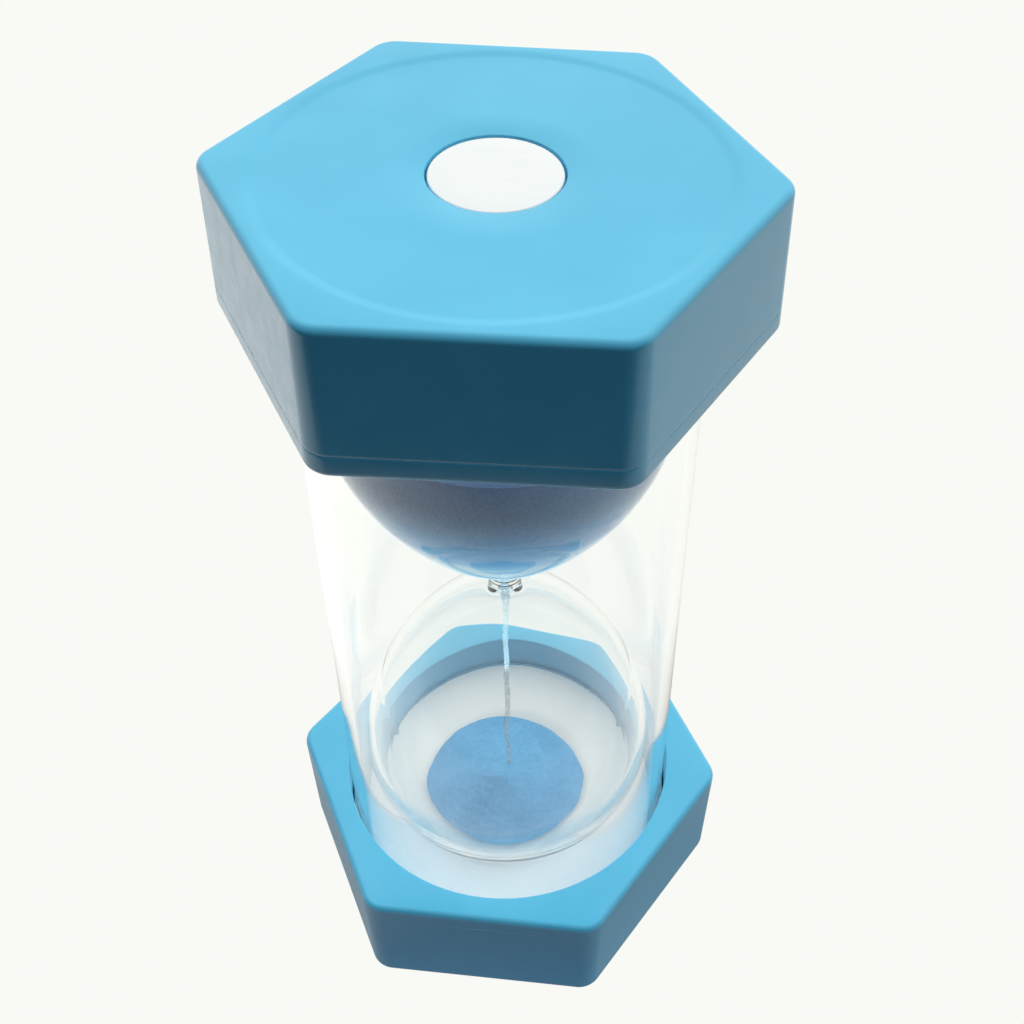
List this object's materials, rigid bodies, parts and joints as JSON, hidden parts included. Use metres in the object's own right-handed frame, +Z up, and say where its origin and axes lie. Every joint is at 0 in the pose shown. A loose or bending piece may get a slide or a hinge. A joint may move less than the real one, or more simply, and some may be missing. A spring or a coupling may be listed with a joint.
{
  "type": "hourglass",
  "caption": "Sand timer: two glass bulbs with blue sand inside a clear tube, held between hexagonal blue plastic caps with round white badges.",
  "frame": {"origin": "middle of the base, on the plane that the lower cap stands on", "axes": "+Z up along the timer's axis, +X towards one corner of the lower cap, -Y towards its front flat"},
  "size_m": [0.082, 0.0744, 0.16],
  "materials": {
    "cap_plastic": "satin moulded plastic",
    "badge_plastic": "smooth white plastic",
    "foam": "closed-cell white foam",
    "clear_tube": "clear polystyrene tube",
    "bulb_glass": "clear blown glass",
    "sand": "fine dyed sand"
  },
  "bodies": {
    "root": {"bottom_cap_cup": "cap_plastic", "bottom_cap_lid": "cap_plastic", "bottom_cap_badge": "badge_plastic", "bottom_foam_pad": "foam", "top_cap_cup": "cap_plastic", "top_cap_lid": "cap_plastic", "top_cap_badge": "badge_plastic", "top_foam_pad": "foam", "outer_tube": "clear_tube", "upper_bulb": "bulb_glass", "lower_bulb": "bulb_glass", "orifice_disc": "clear_tube", "neck_collar": "clear_tube", "upper_sand": "sand", "lower_sand_heap": "sand", "sand_stream": "sand"}
  },
  "joints": []
}
